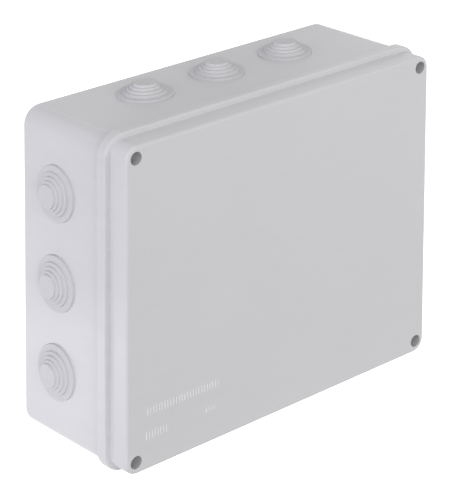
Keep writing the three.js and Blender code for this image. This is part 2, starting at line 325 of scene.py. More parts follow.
def remap(nt, value, lo, hi, to_lo, to_hi):
    n = nt.nodes.new("ShaderNodeMapRange")
    nt.links.new(value, n.inputs["Value"])
    for k, v in (("From Min", lo), ("From Max", hi), ("To Min", to_lo), ("To Max", to_hi)):
        n.inputs[k].default_value = v
    return n.outputs["Result"]


def math_node(nt, op, a, b=None):
    n = nt.nodes.new("ShaderNodeMath")
    n.operation = op
    for i, v in enumerate((a, b)):
        if v is None:
            continue
        if isinstance(v, (int, float)):
            n.inputs[i].default_value = v
        else:
            nt.links.new(v, n.inputs[i])
    return n.outputs[0]


def scale_colour(nt, colour, factor):
    n = nt.nodes.new("ShaderNodeVectorMath")
    n.operation = "SCALE"
    if hasattr(colour, "node"):
        nt.links.new(colour, n.inputs[0])
    else:
        n.inputs[0].default_value = colour[:3]
    nt.links.new(factor, n.inputs["Scale"])
    return n.outputs[0]


def edge_mask(nt, radius):
    """1 on a convex or concave edge and 0 on flats, from how far a rounded normal leaves the true one."""
    bev = nt.nodes.new("ShaderNodeBevel")
    bev.samples = 4
    bev.inputs["Radius"].default_value = radius
    geo = nt.nodes.new("ShaderNodeNewGeometry")
    dot = nt.nodes.new("ShaderNodeVectorMath")
    dot.operation = "DOT_PRODUCT"
    nt.links.new(bev.outputs[0], dot.inputs[0])
    nt.links.new(geo.outputs["Normal"], dot.inputs[1])
    return remap(nt, dot.outputs["Value"], 1.0, 0.86, 0.0, 1.0)


def moulded(name, colour, rough=0.46, grain=2600.0, grain_depth=0.004, mottle=0.02, subsurface=0.0, specular=0.45, corner=0.97, pit=0.8, painted_highlight_depth=None):
    """Injection-moulded plastic: spark-eroded grain, faint flow mottling, polished edges. corner is the painted light
    or shade in an inside corner against a flat, pit the painted shade at the bottom of a deep hole; the last
    argument, when given, is the depth beyond which raised marks get a painted highlight in their colour."""
    m, nt, b = material(name)
    tc = nt.nodes.new("ShaderNodeTexCoord")
    co = tc.outputs["Object"]
    # colour: broad flow clouds, a finer fleck, painted light and shade in inside corners and painted shade at the
    # bottom of deep holes, both from ambient occlusion
    broad = remap(nt, noise(nt, co, 9.0, 3.0, 0.55), 0.1, 0.9, 1.0 - mottle * 1.6, 1.0 + mottle * 1.6)
    stretch = nt.nodes.new("ShaderNodeMapping")
    stretch.inputs["Scale"].default_value = (1.0, 1.0, 5.0)
    stretch.inputs["Rotation"].default_value = (0.0, 0.5, 0.2)
    nt.links.new(co, stretch.inputs["Vector"])
    flow = remap(nt, noise(nt, stretch.outputs[0], 26.0, 4.0, 0.6), 0.1, 0.9, 1.0 - mottle * 1.2, 1.0 + mottle * 1.2)
    fleck = remap(nt, noise(nt, co, 900.0, 2.0, 0.6), 0.3, 0.7, 1.0 - mottle * 0.8, 1.0 + mottle * 0.8)
    edge = edge_mask(nt, 0.0008)
    rub = math_node(nt, "MULTIPLY", edge, remap(nt, noise(nt, co, 160.0, 3.0, 0.6), 0.42, 0.72, 0.0, 1.0))
    ao = nt.nodes.new("ShaderNodeAmbientOcclusion")
    ao.samples = 4
    ao.inputs["Distance"].default_value = 0.004
    # painted light or shade in inside corners: the colour is scaled by the ambient occlusion, lighter where corner is
    # above 1 and darker where it is below 1
    painted_crease_tone = remap(nt, ao.outputs["AO"], 0.3, 0.92, corner, 1.0)
    # painted shade at the bottom of deep holes: the colour is darkened down to pit where the wide ambient occlusion is
    # low
    deep = nt.nodes.new("ShaderNodeAmbientOcclusion")
    deep.samples = 4
    deep.inputs["Distance"].default_value = 0.012
    hollow = remap(nt, deep.outputs["AO"], 0.05, 0.34, pit, 1.0)
    f = math_node(nt, "MULTIPLY", broad, flow)
    f = math_node(nt, "MULTIPLY", f, fleck)
    f = math_node(nt, "MULTIPLY", f, painted_crease_tone)
    f = math_node(nt, "MULTIPLY", f, hollow)
    # painted highlight: raised marks standing out beyond the given depth are painted up to 1.28 times lighter
    if painted_highlight_depth:
        xyz = nt.nodes.new("ShaderNodeSeparateXYZ")
        nt.links.new(co, xyz.inputs[0])
        f = math_node(nt, "MULTIPLY", f, remap(nt, xyz.outputs[1], -(painted_highlight_depth + 0.35) * MM, -(painted_highlight_depth + 0.15) * MM, 1.28, 1.0))
    nt.links.new(scale_colour(nt, colour, f), b.inputs["Base Color"])
    # roughness: uneven gloss from handling, edges a little polished
    r = remap(nt, noise(nt, co, 6.0, 2.0, 0.5), 0.05, 0.95, rough - 0.02, rough + 0.02)
    r = math_node(nt, "SUBTRACT", r, math_node(nt, "MULTIPLY", rub, 0.03))
    nt.links.new(r, b.inputs["Roughness"])
    b.inputs["IOR"].default_value = 1.5
    b.inputs["Specular IOR Level"].default_value = specular
    if subsurface:
        b.inputs["Subsurface Weight"].default_value = subsurface
        b.inputs["Subsurface Radius"].default_value = (1.0, 0.95, 0.9)
        b.inputs["Subsurface Scale"].default_value = 0.0012
    # relief: the fine spark texture
    fine = noise(nt, co, grain, 2.0, 0.55)
    vor = nt.nodes.new("ShaderNodeTexVoronoi")
    vor.inputs["Scale"].default_value = grain * 0.7
    nt.links.new(co, vor.inputs["Vector"])
    h = math_node(nt, "ADD", math_node(nt, "MULTIPLY", fine, 0.7), math_node(nt, "MULTIPLY", vor.outputs["Distance"], 0.3))
    bump = nt.nodes.new("ShaderNodeBump")
    bump.inputs["Strength"].default_value = 0.35
    bump.inputs["Distance"].default_value = grain_depth * MM
    nt.links.new(h, bump.inputs["Height"])
    nt.links.new(bump.outputs[0], b.inputs["Normal"])
    return m


def metal(name, colour, rough, streak=(1.0, 60.0, 1.0), tarnish=(0.8, 0.75, 0.65)):
    """Turned or plated metal with fine tool lines, uneven plating and a little tarnish."""
    m, nt, b = material(name)
    tc = nt.nodes.new("ShaderNodeTexCoord")
    co = tc.outputs["Object"]
    mp = nt.nodes.new("ShaderNodeMapping")
    mp.inputs["Scale"].default_value = streak
    nt.links.new(co, mp.inputs["Vector"])
    lines = noise(nt, mp.outputs[0], 240.0, 3.0, 0.6)
    spots = remap(nt, noise(nt, co, 520.0, 4.0, 0.6), 0.45, 0.7, 0.0, 0.5)
    mix = nt.nodes.new("ShaderNodeMix")
    mix.data_type = "RGBA"
    mix.inputs[6].default_value = (*colour, 1)
    mix.inputs[7].default_value = (*[c * t for c, t in zip(colour, tarnish)], 1)
    nt.links.new(spots, mix.inputs[0])
    nt.links.new(mix.outputs[2], b.inputs["Base Color"])
    b.inputs["Metallic"].default_value = 1.0
    nt.links.new(remap(nt, lines, 0.3, 0.7, rough - 0.08, rough + 0.10), b.inputs["Roughness"])
    bump = nt.nodes.new("ShaderNodeBump")
    bump.inputs["Strength"].default_value = 0.3
    bump.inputs["Distance"].default_value = 0.02 * MM
    nt.links.new(lines, bump.inputs["Height"])
    nt.links.new(bump.outputs[0], b.inputs["Normal"])
    return m


def foam(name, colour):
    """Foamed-in-place seal: dark, matt, with a fine open skin."""
    m, nt, b = material(name)
    tc = nt.nodes.new("ShaderNodeTexCoord")
    co = tc.outputs["Object"]
    vor = nt.nodes.new("ShaderNodeTexVoronoi")
    vor.inputs["Scale"].default_value = 1500.0
    nt.links.new(co, vor.inputs["Vector"])
    cells = vor.outputs["Distance"]
    f = remap(nt, cells, 0.0, 0.6, 0.75, 1.25)
    nt.links.new(scale_colour(nt, colour, f), b.inputs["Base Color"])
    nt.links.new(remap(nt, noise(nt, co, 60.0, 3.0), 0.3, 0.7, 0.78, 0.92), b.inputs["Roughness"])
    bump = nt.nodes.new("ShaderNodeBump")
    bump.inputs["Strength"].default_value = 0.6
    bump.inputs["Distance"].default_value = 0.08 * MM
    nt.links.new(cells, bump.inputs["Height"])
    nt.links.new(bump.outputs[0], b.inputs["Normal"])
    return m


GREY = (0.620, 0.618, 0.633)
MAT = {
    # corner above 1 paints light into the inside corners of housing and cover; the grommet's 0.94 paints shade into its
    # corners
    "housing": moulded("housing_plastic", GREY, rough=0.24, specular=0.72, corner=1.12),
    # the cover's screw recesses get painted shade (pit) and its raised marks a painted highlight
    "cover": moulded("cover_plastic", (0.633, 0.631, 0.648), rough=0.25, mottle=0.012, specular=0.72, corner=1.12, pit=0.75, painted_highlight_depth=DEPTH),
    "grommet": moulded("grommet_elastomer", (0.600, 0.598, 0.613), rough=0.65, grain=3600.0, grain_depth=0.006, mottle=0.015, subsurface=0.03, specular=0.15, corner=0.94),
    "cap": moulded("cap_plastic", (0.50, 0.51, 0.53), rough=0.5, mottle=0.02),
    "washer": moulded("washer_nylon", (0.80, 0.79, 0.74), rough=0.4, mottle=0.015, subsurface=0.2),
    "gasket": foam("gasket_foam", (0.032, 0.033, 0.036)),
    "screw": metal("screw_zinc", (0.66, 0.67, 0.69), 0.28),
    "insert": metal("insert_brass", (0.80, 0.60, 0.28), 0.25),
}


def finish_piece(ob, slot_name, body, *replaced, angle=32.0, weighted=True):
    tidy(ob, angle, weighted)
    ob.data.materials.clear()
    ob.data.materials.append(MAT[slot_name])
    place(ob, slot_name, body, *replaced)


def place(ob, slot_name, body, *replaced):
    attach(ob, body)
    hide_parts(*replaced)


# ------------------------------------------------------------------ cable entries
LEAN_X, LEAN_Z = math.atan(DRAFT_X / WALL_REF), math.atan(DRAFT_Z / WALL_REF)
entries = []
for i in range(3):
    p = PITCH * (i - 1)
    wx, wz = wall_x(ENTRY_D), wall_z(ENTRY_D)
    entries.append((f"cable_grommet_top_{i + 1}", (p, -ENTRY_D, wz), (0, math.sin(LEAN_Z), math.cos(LEAN_Z))))
    entries.append((f"cable_grommet_bottom_{i + 1}", (p, -ENTRY_D, -wz), (0, math.sin(LEAN_Z), -math.cos(LEAN_Z))))
    entries.append((f"cable_grommet_left_{i + 1}", (-wx, -ENTRY_D, -p), (-math.cos(LEAN_X), math.sin(LEAN_X), 0)))
    entries.append((f"cable_grommet_right_{i + 1}", (wx, -ENTRY_D, -p), (math.cos(LEAN_X), math.sin(LEAN_X), 0)))


def entry_matrix(at, out):
    """Carries a body turned about -Y at the origin to a wall entry, in metres."""
    y = -Vector(out).normalized()
    side = Vector((0, 0, 1)).cross(y) if abs(y.z) < 0.9 else Vector((1, 0, 0)).cross(y)
    x = side.normalized()
    z = x.cross(y)
    m = Matrix((x, y, z)).transposed().to_4x4()
    m.translation = Vector(at) * MM
    return m


# ------------------------------------------------------------------ housing
def build_housing():
    levels = []
    for d, inset in fillet([(0.0, 40.0), (0.0, 0.0), (30.0, 0.0)], [0, BACK_R, 0], 8)[1:-1]:
        levels.append((d, wall_x(d) - inset, wall_z(d) - inset, WALL_R - inset))
    # wall, then the flange with rolled edges: (depth, how far out from the wall towards the flange)
    prof = [(30.0, 0.0), (60.0, 0.0), (FLANGE_BACK - 0.35, 0.0), (FLANGE_BACK, 0.03), (FLANGE_BACK + 0.12, 0.12),
            (FLANGE_BACK + 0.36, 0.88), (FLANGE_BACK + 0.48, 0.97), (FLANGE_BACK + 0.8, 1.0)]
    prof += [(LEDGE - 1.6 + 1.6 * math.sin(q), 1.0 - 0.51 * (1 - math.cos(q))) for q in (math.radians(11.25 * i) for i in range(9))]
    prof.append((LEDGE, 0.25))
    for d, s in prof:
        hx, hz = wall_x(min(d, WALL_REF)), wall_z(min(d, WALL_REF))
        levels.append((d, hx + s * (FLANGE_HX - hx), hz + s * (FLANGE_HZ - hz), WALL_R + s * (FLANGE_R - WALL_R)))
    body = loft("housing_shell", [(d, round_rect(hx, hz, r)) for d, hx, hz, r in levels])
    tongue = loft("tongue", [(LEDGE - 2.0, seal_outline(0.0)), (RIM_TOP - 0.5, seal_outline(0.0)), (RIM_TOP - 0.15, seal_outline(0.15)), (RIM_TOP, seal_outline(0.5))])
    boolean(body, tongue, "UNION")

    room_levels = []
    for d, inset in fillet([(FLOOR, 40.0), (FLOOR, 0.0), (40.0, 0.0)], [0, 2.4, 0], 6)[1:-1]:
        room_levels.append((d, wall_x(d) - WALL - inset, wall_z(d) - WALL - inset, WALL_R - WALL - inset))
    for d in (40.0, SHELF - 1.2):
        room_levels.append((d, wall_x(d) - WALL, wall_z(d) - WALL, WALL_R - WALL))
    room_levels.append((SHELF - 0.4, wall_x(SHELF) - WALL - 0.3, wall_z(SHELF) - WALL - 0.3, WALL_R - WALL - 0.3))
    room_levels.append((SHELF, wall_x(SHELF) - WALL - 1.1, wall_z(SHELF) - WALL - 1.1, WALL_R - WALL - 1.1))
    room = loft("room", [(d, round_rect(hx, hz, r)) for d, hx, hz, r in room_levels])
    standing = posts(SCREW_X, SCREW_Z, [(0, 1), (PILLAR_R + 0.25, 1), (PILLAR_R, SHELF + 2), (0, SHELF + 2)], 64)
    standing += posts(FIX_X, FIX_Z, [(0, 1), (COLLAR_R + 1.0, 1), (COLLAR_R + 1.0, FLOOR - 0.01), (COLLAR_R + 0.35, FLOOR + 0.3), (COLLAR_R, FLOOR + 1.0), (COLLAR_R, COLLAR_TOP - 0.4), (COLLAR_R - 0.4, COLLAR_TOP), (0, COLLAR_TOP)], 64)
    standing += posts(BOSS_X, BOSS_Z, [(0, 1), (BOSS_R + 1.0, 1), (BOSS_R + 1.0, FLOOR - 0.01), (BOSS_R + 0.35, FLOOR + 0.3), (BOSS_R, FLOOR + 1.0), (BOSS_R - 0.1, BOSS_TOP - 0.3), (BOSS_R - 0.4, BOSS_TOP), (0, BOSS_TOP)], 48)
    boolean(room, join(standing, "standing"))
    boolean(body, room)
    mouth = loft("mouth", [(SHELF - 0.6, seal_outline(TONGUE_T)), (RIM_TOP - 0.5, seal_outline(TONGUE_T)), (RIM_TOP - 0.15, seal_outline(TONGUE_T - 0.15)), (RIM_TOP + 0.01, seal_outline(TONGUE_T - 0.5)), (RIM_TOP + 1.5, seal_outline(TONGUE_T - 0.5))])
    boolean(body, mouth)

    tools = posts(SCREW_X, SCREW_Z, [(0, PILLAR_BORE_END - 0.8), (PILLAR_BORE_R, PILLAR_BORE_END), (PILLAR_BORE_R, INSERT_TOP - INSERT_LEN - 0.3), (INSERT_R + 0.12, INSERT_TOP - INSERT_LEN - 0.3), (INSERT_R + 0.12, LEDGE - 0.3), (INSERT_R + 0.5, LEDGE + 0.1), (INSERT_R + 0.5, LEDGE + 1), (0, LEDGE + 1)], 48)
    tools += posts(FIX_X, FIX_Z, [(0, -1), (FIX_HOLE_R + 0.5, -1), (FIX_HOLE_R + 0.5, -0.1), (FIX_HOLE_R, 0.5), (FIX_HOLE_R, FLOOR + 0.8), (COLLAR_BORE - 0.2, FLOOR + 0.8), (COLLAR_BORE, COLLAR_TOP - 0.4), (COLLAR_BORE + 0.4, COLLAR_TOP + 0.05), (COLLAR_BORE + 0.4, COLLAR_TOP + 1), (0, COLLAR_TOP + 1)], 48)
    tools += posts(BOSS_X, BOSS_Z, [(0, FLOOR), (BOSS_BORE, FLOOR + 0.5), (BOSS_BORE, BOSS_TOP - 0.3), (BOSS_BORE + 0.4, BOSS_TOP + 0.1), (BOSS_BORE + 0.4, BOSS_TOP + 1), (0, BOSS_TOP + 1)], 32)
    for name, at, out in entries:
        c = lathe("entry", [(0, -8), (ENTRY_R + 0.4, -8), (ENTRY_R + 0.4, -3.4), (ENTRY_R - 0.05, -2.9), (ENTRY_R - 0.05, -0.3), (ENTRY_R + 0.25, 0.05), (ENTRY_R + 0.25, 6), (0, 6)], 96)
        c.data.transform(entry_matrix(at, out))
        tools.append(c)
    boolean(body, join(tools, "tools"))
    return body


housing = build_housing()
housing.name = "housing_shell"
finish_piece(housing, "housing", "housing", "base_housing")


# ------------------------------------------------------------------ cover
def build_cover():
    start = LEDGE
    levels = [(start, 0.0), (DEPTH - 12, 0.0)]
    levels += [(d, i) for d, i in fillet([(DEPTH - 12, 0.0), (DEPTH, 0.0), (DEPTH, 40.0)], [0, COVER_EDGE, 0], 8)[1:-1]]
    body = loft("cover_shell", [(d, round_rect(COVER_HX - i, COVER_HZ - i, COVER_R - i)) for d, i in levels])
    inner = DEPTH - COVER_PLATE
    hx, hz, r = COVER_HX - SKIRT, COVER_HZ - SKIRT, COVER_R - SKIRT
    hollow = loft("hollow", [(start - 1, round_rect(hx, hz, r)), (inner - 1.0, round_rect(hx, hz, r)), (inner - 0.3, round_rect(hx - 0.3, hz - 0.3, r - 0.3)), (inner, round_rect(hx - 1.0, hz - 1.0, r - 1.0))])
    keep = posts(SCREW_X, SCREW_Z, rod(COLUMN_R, start - 2, DEPTH), 64)
    keep.append(sweep_loop("rib", [(TONGUE_T + 1.3, inner + 0.4), (TONGUE_T + 1.3, inner - 5.4), (TONGUE_T + 1.6, inner - 5.7), (TONGUE_T + 2.5, inner - 5.7), (TONGUE_T + 2.8, inner - 5.4), (TONGUE_T + 2.8, inner + 0.4)]))
    boolean(hollow, join(keep, "keep"))
    # low stiffening ribs behind the plate
    ribs = []
    for x in (-92.0, -46.0, 0.0, 46.0, 92.0):
        ribs.append(loft("r", [(inner - 2.2, round_rect_at(x, 0, 0.55, 112.0, 0.2, 2)), (inner + 0.5, round_rect_at(x, 0, 0.8, 112.4, 0.2, 2))]))
    boolean(hollow, join(ribs, "ribs"))
    cross = [loft("r", [(inner - 2.2, round_rect_at(0, z, 137.0, 0.55, 0.2, 2)), (inner + 0.5, round_rect_at(0, z, 137.4, 0.8, 0.2, 2))]) for z in (-56.0, 0.0, 56.0)]
    boolean(hollow, join(cross, "cross"))
    boolean(body, hollow)
    rr = RECESS_R - 0.15
    cut = posts(SCREW_X, SCREW_Z, [(0, RECESS_FLOOR), (rr - 0.35, RECESS_FLOOR), (rr - 0.1, RECESS_FLOOR + 0.25)] + fillet([(rr - 0.1, RECESS_FLOOR + 0.3), (rr, DEPTH), (rr + 3.0, DEPTH + 0.001)], [0, 0.35, 0], 4)[1:-1] + [(rr + 0.4, DEPTH + 1.0), (0, DEPTH + 1.0)], 64)
    boolean(body, join(cut, "recess"))
    boolean(body, join(posts(SCREW_X, SCREW_Z, rod(PILLAR_BORE_R, start - 1, RECESS_FLOOR + 1), 48), "bores"))
    # rows of plain upright ribs where the moulding carries its raised marking, and the gate mark
    marks = []

    def hatch(x0, x1, z0, z1, count, h=0.6, half=0.55):
        for k in range(count):
            cx, cz, bz = x0 + (x1 - x0) * k / (count - 1), (z0 + z1) / 2, (z1 - z0) / 2
            ring = lambda i: round_rect_at(cx, cz, half - i, bz - i, max(0.3 - i, 0.1), 3)
            marks.append(loft("mark", [(DEPTH - 0.6, ring(0.0)), (DEPTH + h * 0.4, ring(0.06)), (DEPTH + h * 0.85, ring(0.18)), (DEPTH + h, ring(0.36))]))

    hatch(-129.5, -64.5, -81.6, -76.0, 26)
    hatch(-130.5, -112.5, -100.0, -94.0, 8)
    hatch(-75.5, -67.7, -98.4, -94.6, 4)
    marks += [lathe("gate", [(0, DEPTH - 0.5), (1.6, DEPTH - 0.5), (1.6, DEPTH + 0.04), (1.3, DEPTH + 0.14), (0.5, DEPTH + 0.16), (0, DEPTH + 0.1)], 32, (3.0, 11.0))]
    boolean(body, join(marks, "marks"), "UNION")
    return body


def round_rect_at(cx, cz, hx, hz, r, n=4):
    return [(cx + x, cz + z) for x, z in round_rect(hx, hz, r, n)]


cover = build_cover()
cover.name = "cover_shell"
finish_piece(cover, "cover", "cover", "cover")

gasket = sweep_loop("gasket_strip", fillet([(-0.15, RIM_TOP + 0.3), (-0.15, DEPTH - COVER_PLATE - 0.05), (3.55, DEPTH - COVER_PLATE - 0.05), (3.55, RIM_TOP + 0.3), (2.3, RIM_TOP + 0.3), (1.7, RIM_TOP + 0.75), (0.9, RIM_TOP + 0.3)], [0.8, 0.3, 0.3, 0.8, 0.3, 0.6, 0.3], 3, closed=True))
finish_piece(gasket, "gasket", "cover", "cover_gasket")


# ------------------------------------------------------------------ grommets
def build_grommet():
    top = STEP_H * 5
    draft = 0.28   # each riser leans in this far over its height
    outer = [(0.0, top - 0.10), (3.0, top - 0.10), (3.7, top), (STEP_R[4] - draft, top)]
    radii = [0, 0.3, 0.3, 0.35]
    for k in (3, 2, 1, 0):
        outer += [(STEP_R[k + 1], STEP_H * (k + 1) + 0.10), (STEP_R[k] - draft, STEP_H * (k + 1) - 0.05)]
        radii += [0.2, 0.38]
    outer += [(STEP_R[0], 0.02)]
    radii += [0.0]
    inner = [(ENTRY_R - 0.25, 0.02), (ENTRY_R - 0.25, -WALL - 0.08), (ENTRY_R + 1.6, -WALL - 0.08), (ENTRY_R + 1.2, -WALL - 1.8), (15.2, -WALL - 1.8), (15.2, 0.6), (7.0, top - 1.5), (0.0, top - 1.5)]
    radii += [0.0, 0.2, 0.35, 0.5, 0.4, 0.8, 0.8, 0.0]
    return lathe("grommet", fillet(outer + inner, radii, 5), 96)


grommet = build_grommet()
tidy(grommet, 40.0, True)
grommet.data.materials.append(MAT["grommet"])
for name, at, out in entries:
    g = bpy.data.objects.new(name.replace("cable_grommet", "grommet"), grommet.data)
    scene.collection.objects.link(g)
    g.matrix_world = entry_matrix(at, out)
    w = g.modifiers.new("weighted", "WEIGHTED_NORMAL")
    w.keep_sharp = True
    place(g, "grommet", "housing", name)
bpy.data.objects.remove(grommet)


# ------------------------------------------------------------------ fastenings
WASHER_BACK = RECESS_FLOOR + 0.3
HEAD_BACK = WASHER_BACK + 0.8 + 0.3
HEAD_FRONT = HEAD_BACK + 3.0


def spiral(name, d0, d1, radius, seg, caps):
    """Closed body of revolution-like rows whose radius is a function of depth and angle."""
    rows = int((d1 - d0) / 0.0875)
    verts, faces = [], []
    for k in range(rows + 1):
        d = d0 + (d1 - d0) * k / rows
        for i in range(seg):
            a = 2 * math.pi * i / seg
            r = radius(d, a)
            verts.append((r * math.cos(a), -d, r * math.sin(a)))
    for k in range(rows):
        for i in range(seg):
            j = (i + 1) % seg
            faces.append((k * seg + i, k * seg + j, (k + 1) * seg + j, (k + 1) * seg + i))
    if caps:
        faces.append(tuple(range(seg)))
        faces.append(tuple(rows * seg + i for i in reversed(range(seg))))
    return verts, faces


def build_screw():
    head = lathe("screw", fillet([(0, HEAD_FRONT), (3.7, HEAD_FRONT), (4.0, HEAD_BACK + 1.9), (4.0, HEAD_BACK), (1.72, HEAD_BACK), (1.72, HEAD_BACK - 1.3), (0, HEAD_BACK - 1.3)], [0, 0.8, 0.3, 0.15, 0.1, 0, 0], 4), 64)

    def ridge(d, a):
        tip = min(1.0, max(0.0, (d - 92.0) / 1.2))
        run = min(1.0, max(0.0, (HEAD_BACK - 1.0 - d) / 0.8))
        t = (d / 0.7 + a / (2 * math.pi)) % 1.0
        tri = 1.0 - abs(2 * t - 1.0)
        crest = min(1.0, max(0.0, (tri - 0.12) / 0.72))
        return 1.42 - 0.45 * (1 - tip) + 0.5 * crest * run * (0.25 + 0.75 * tip)

    verts, faces = spiral("thread", 92.0, HEAD_BACK - 0.6, ridge, 40, True)
    thread = new_object("thread", verts, faces)
    boolean(head, thread, "UNION")
    arms = []
    for w, h in ((2.35, 0.52), (0.52, 2.35)):
        arms.append(loft("arm", [(HEAD_FRONT - 2.1, round_rect_at(0, 0, w * 0.45, h * 0.45, 0.1, 2)), (HEAD_FRONT + 0.1, round_rect_at(0, 0, w, h, 0.15, 2)), (HEAD_FRONT + 1.0, round_rect_at(0, 0, w, h, 0.15, 2))]))
    boolean(arms[0], arms[1], "UNION")
    boolean(head, arms[0])
    return head


screw_mesh = tidy(build_screw(), 30.0, False)
washer_mesh = tidy(lathe("washer", fillet([(2.25, WASHER_BACK - 0.25), (4.5, WASHER_BACK - 0.25), (4.5, WASHER_BACK + 0.95), (2.25, WASHER_BACK + 0.95)], 0.25, 4, closed=True), 64, closed=True), 40.0, False)


def build_insert():
    lo, hi = INSERT_TOP - INSERT_LEN, INSERT_TOP
    seg, rows = 96, 64
    verts, faces = [], []

    def outer(d, a):
        u = (d - lo) / (hi - lo)
        band = 1.0 if (0.08 < u < 0.42 or 0.58 < u < 0.88) else 0.0
        k1 = abs(((a * 14 / math.pi + d * 1.6) % 1.0) - 0.5) * 2
        k2 = abs(((a * 14 / math.pi - d * 1.6) % 1.0) - 0.5) * 2
        return 2.92 + 0.26 * band * min(k1, k2) + (0.12 if u >= 0.88 else 0.0)

    def inner(d, a):
        t = (d / 0.7 + a / (2 * math.pi)) % 1.0
        return 2.02 + 0.18 * (1.0 - abs(2 * t - 1.0)) + (0.2 if d > hi - 0.3 else 0.0)

    for k in range(rows + 1):
        d = lo + (hi - lo) * k / rows
        for i in range(seg):
            a = 2 * math.pi * i / seg
            r = outer(d, a)
            verts.append((r * math.cos(a), -d, r * math.sin(a)))
    for k in range(rows + 1):
        d = hi - (hi - lo) * k / rows
        for i in range(seg):
            a = 2 * math.pi * i / seg
            r = inner(d, a)
            verts.append((r * math.cos(a), -d, r * math.sin(a)))
    total = 2 * (rows + 1)
    for k in range(total):
        k2 = (k + 1) % total
        for i in range(seg):
            j = (i + 1) % seg
            faces.append((k * seg + i, k * seg + j, k2 * seg + j, k2 * seg + i))
    return new_object("insert", verts, faces)


insert_mesh = tidy(build_insert(), 35.0, False)
cap_back = COLLAR_TOP + 0.08


def build_cap():
    cap = lathe("cap", fillet([(0, cap_back + 1.35), (4.2, cap_back + 1.35), (4.8, cap_back + 1.6), (COLLAR_R + 0.3, cap_back + 1.6), (COLLAR_R + 0.3, cap_back), (COLLAR_BORE - 0.3, cap_back), (COLLAR_BORE - 0.12, cap_back - 1.6), (COLLAR_BORE - 0.5, cap_back - 3.5), (COLLAR_BORE - 1.5, cap_back - 3.5), (COLLAR_BORE - 1.5, cap_back - 0.1), (0, cap_back - 0.1)], [0, 0.3, 0.3, 0.5, 0.25, 0.1, 0.4, 0.3, 0.3, 0.4, 0], 4), 64)
    slot = loft("slot", [(cap_back + 0.75, round_rect_at(0, 0, 2.6, 0.5, 0.4, 4)), (cap_back + 2.0, round_rect_at(0, 0, 3.0, 0.7, 0.5, 4))])
    return boolean(cap, slot)


cap_mesh = tidy(build_cap(), 35.0, True)

for o, s in ((screw_mesh, "screw"), (washer_mesh, "washer"), (insert_mesh, "insert"), (cap_mesh, "cap")):
    o.data.materials.clear()
    o.data.materials.append(MAT[s])
for where, (sx, sz) in CORNERS.items():
    for src, label, slot_name, body, cad, x, z in (
        (screw_mesh, "screw", "screw", f"screw_{where}", f"cover_screw_{where}", SCREW_X, SCREW_Z),
        (washer_mesh, "washer", "washer", f"washer_{where}", f"screw_washer_{where}", SCREW_X, SCREW_Z),
        (insert_mesh, "insert", "insert", "housing", f"threaded_insert_{where}", SCREW_X, SCREW_Z),
        (cap_mesh, "cap", "cap", "housing", f"fixing_cap_{where}", FIX_X, FIX_Z),
    ):
        o = bpy.data.objects.new(f"{label}_{where}", src.data)
        scene.collection.objects.link(o)
        turn = {"top_left": 0.4, "top_right": 1.1, "bottom_left": 0.9, "bottom_right": 0.2}[where]
        spin = Matrix.Rotation(turn, 4, "Y") if label in ("screw", "cap") else Matrix.Identity(4)
        o.matrix_world = Matrix.Translation(Vector((sx * x, 0, sz * z)) * MM) @ spin
        place(o, slot_name, body, cad)
for o in (screw_mesh, washer_mesh, insert_mesh, cap_mesh):
    bpy.data.objects.remove(o)


# ------------------------------------------------------------------ floor, light, camera
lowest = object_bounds()[0].z
floor = new_object("floor", [(-30000, -30000, lowest / MM - 0.2), (30000, -30000, lowest / MM - 0.2), (30000, 30000, lowest / MM - 0.2), (-30000, 30000, lowest / MM - 0.2)], [(0, 1, 2, 3)])
FLOOR_SEEN, FLOOR_FILL, FRONT_FILL, LEFT_FILL = 0.80, 0.56, 0.26, 0.26   # what the camera sees; what lights the object from below: behind it, before it, and the extra on its left
NEAR, FAR_IN, FAR_OUT = 0.71, 1.22, 0.87     # what the gloss of the plastic mirrors: near table, then the duller room beyond its edge
AMBIENT, GLOSS_SKY = 0.74, 0.75


def by_ray(nt, camera, glossy, other):
    """One value for camera rays, one for mirrored rays, one for the rest."""
    lp = nt.nodes.new("ShaderNodeLightPath")
    first = nt.nodes.new("ShaderNodeMix")
    second = nt.nodes.new("ShaderNodeMix")
    for mx, fac, lo, hi in ((first, lp.outputs["Is Glossy Ray"], other, glossy), (second, lp.outputs["Is Camera Ray"], first.outputs[0], camera)):
        mx.data_type = "FLOAT"
        nt.links.new(fac, mx.inputs[0])
        for k, v in ((2, lo), (3, hi)):
            if isinstance(v, (int, float)):
                mx.inputs[k].default_value = v
            else:
                nt.links.new(v, mx.inputs[k])
    return second.outputs[0]


fm = bpy.data.materials.new("studio_floor")
fm.use_nodes = True
nt = fm.node_tree
nt.nodes.clear()
out = nt.nodes.new("ShaderNodeOutputMaterial")
dif = nt.nodes.new("ShaderNodeBsdfDiffuse")
dif.inputs["Color"].default_value = (0.86, 0.86, 0.86, 1)
emi = nt.nodes.new("ShaderNodeEmission")
geo = nt.nodes.new("ShaderNodeNewGeometry")
sep = nt.nodes.new("ShaderNodeSeparateXYZ")
nt.links.new(geo.outputs["Position"], sep.inputs[0])
run = math_node(nt, "SUBTRACT", sep.outputs[1], sep.outputs[0])
far = remap(nt, run, 0.43, 0.98, FAR_IN, FAR_OUT)
edge = remap(nt, run, 0.412, 0.436, 0.0, 1.0)
mirror = nt.nodes.new("ShaderNodeMix")
mirror.data_type = "FLOAT"
nt.links.new(edge, mirror.inputs[0])
beside = math_node(nt, "MULTIPLY", remap(nt, sep.outputs[0], -0.30, -0.14, 1.14, 0.36), remap(nt, sep.outputs[1], -0.15, -0.11, 0.0, 1.0))
near = math_node(nt, "ADD", remap(nt, sep.outputs[0], -0.1, 0.6, NEAR, NEAR + 0.5), beside)
nt.links.new(near, mirror.inputs[2])
nt.links.new(far, mirror.inputs[3])
left = math_node(nt, "MULTIPLY", remap(nt, sep.outputs[0], -0.20, -0.14, LEFT_FILL, 0.0), remap(nt, sep.outputs[0], -1.0, -0.7, 0.0, 1.0))
